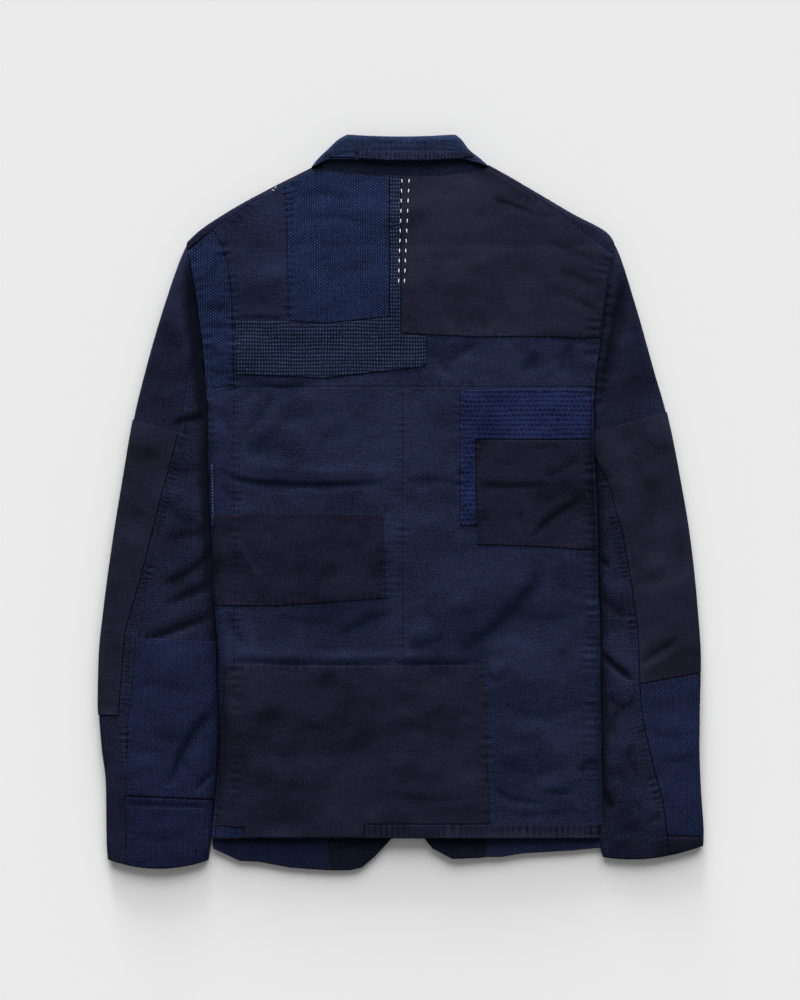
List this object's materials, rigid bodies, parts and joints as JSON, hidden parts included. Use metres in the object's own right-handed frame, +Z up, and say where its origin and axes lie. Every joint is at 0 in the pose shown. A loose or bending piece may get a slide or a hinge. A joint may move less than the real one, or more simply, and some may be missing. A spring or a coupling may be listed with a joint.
{
  "type": "patched boro jacket",
  "caption": "Patched indigo boro jacket of pieced cotton, laid face down with its back up, sleeves beside the body, collar folded over and fronts closed below.",
  "frame": {"origin": "on the surface the jacket lies on, under the middle of its outline", "axes": "+Z up, from the fronts to the back; +Y from the hem to the collar; +X towards the wearer's right sleeve"},
  "size_m": [0.6395, 0.7714, 0.0261],
  "materials": {
    "denim": "matte faded denim weave",
    "navy": "matte dark indigo cotton",
    "brown_black": "matte overdyed brown-black cotton",
    "sashiko_blue": "matte indigo cotton with raised stitch texture",
    "dotted": "matte dark cotton with pale blue dots",
    "row_stitched_blue": "matte bright indigo with rows of running stitches",
    "collar_blue": "matte faded indigo",
    "button_dark": "satin dark horn"
  },
  "bodies": {
    "root": {"back_yoke": "denim", "back_left": "denim", "back_right": "denim", "side_left_upper": "sashiko_blue", "side_left": "denim", "shoulder_left": "brown_black", "shoulder_right": "sashiko_blue", "front_left": "sashiko_blue", "front_left_edge": "dotted", "front_right": "sashiko_blue", "front_right_edge": "navy", "patch_blue_shoulder": "sashiko_blue", "patch_dotted": "dotted", "patch_brown_shoulder": "brown_black", "patch_blue_rows": "row_stitched_blue", "patch_brown_right": "brown_black", "patch_brown_left": "brown_black", "patch_brown_hem": "brown_black", "hem_band_right": "brown_black", "hem_tab_left": "sashiko_blue", "sleeve_left_outer": "navy", "sleeve_left_inner": "navy", "sleeve_left_front": "navy", "elbow_left": "brown_black", "sleeve_patch_left": "sashiko_blue", "cuff_left": "sashiko_blue", "sleeve_right_outer": "denim", "sleeve_right_inner": "navy", "sleeve_right_front": "navy", "elbow_right": "brown_black", "sleeve_patch_right": "sashiko_blue", "cuff_right": "brown_black", "collar_stand": "navy", "collar_leaf": "collar_blue", "collar_binding": "brown_black", "collar_strip": "sashiko_blue", "lapel_left": "brown_black", "lapel_right": "brown_black", "button_1": "button_dark", "button_2": "button_dark", "button_3": "button_dark"}
  },
  "joints": []
}
